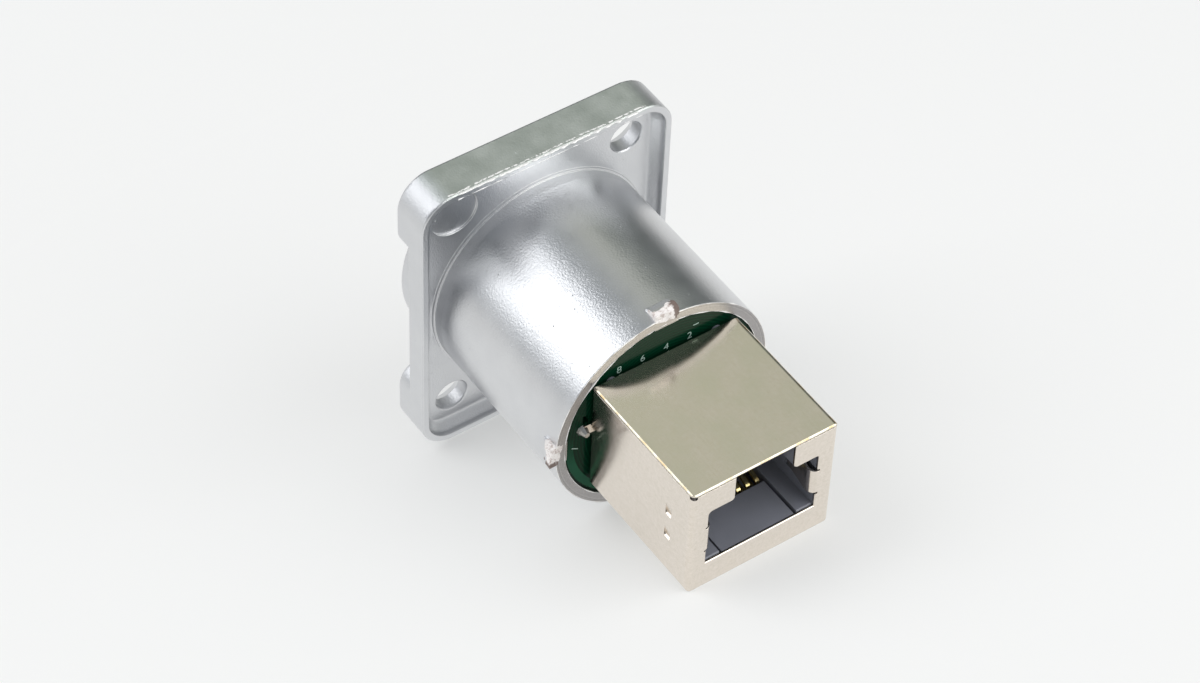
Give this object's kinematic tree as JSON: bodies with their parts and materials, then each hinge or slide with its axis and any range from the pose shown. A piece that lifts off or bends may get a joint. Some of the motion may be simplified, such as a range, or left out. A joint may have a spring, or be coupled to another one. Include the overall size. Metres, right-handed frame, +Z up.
{
  "type": "feed-through ethernet panel socket",
  "caption": "Feed-through shielded ethernet socket in a die-cast flange housing for a round panel hole, with a modular plug port at the front and another at the rear.",
  "frame": {"origin": "on the body's axis, in the plane of the flange's rear rim that seats on the front of the panel", "axes": "+Y out of the back along the body's axis, +Z up with the rear port's latch notch on top, +X across"},
  "size_m": [0.0274, 0.0407, 0.0326],
  "materials": {
    "die_cast_metal": "satin nickel plating on a zinc die casting",
    "shield_sheet": "warm bright nickel plating on folded copper-alloy sheet",
    "jack_plastic": "moulded slate grey, fine grain",
    "black_plastic": "moulded black, fine grain",
    "circuit_board": "dark green solder mask on glass-fibre laminate",
    "contact_metal": "gold-plated phosphor bronze wire",
    "solder": "bright tin solder, slightly rough"
  },
  "bodies": {
    "root": {"circuit_board": "circuit_board", "front_contact_1": "contact_metal", "front_contact_2": "contact_metal", "front_contact_3": "contact_metal", "front_contact_4": "contact_metal", "front_contact_5": "contact_metal", "front_contact_6": "contact_metal", "front_contact_7": "contact_metal", "front_contact_8": "contact_metal", "front_contact_carrier": "jack_plastic", "front_insert": "black_plastic", "front_jack_body": "jack_plastic", "front_jack_shield": "shield_sheet", "front_pin_solder": "solder", "front_tab_solder": "solder", "housing": "die_cast_metal", "rear_contact_1": "contact_metal", "rear_contact_2": "contact_metal", "rear_contact_3": "contact_metal", "rear_contact_4": "contact_metal", "rear_contact_5": "contact_metal", "rear_contact_6": "contact_metal", "rear_contact_7": "contact_metal", "rear_contact_8": "contact_metal", "rear_contact_carrier": "jack_plastic", "rear_jack_body": "jack_plastic", "rear_jack_shield": "shield_sheet", "rear_pin_solder": "solder", "rear_tab_solder": "solder"}
  },
  "joints": []
}
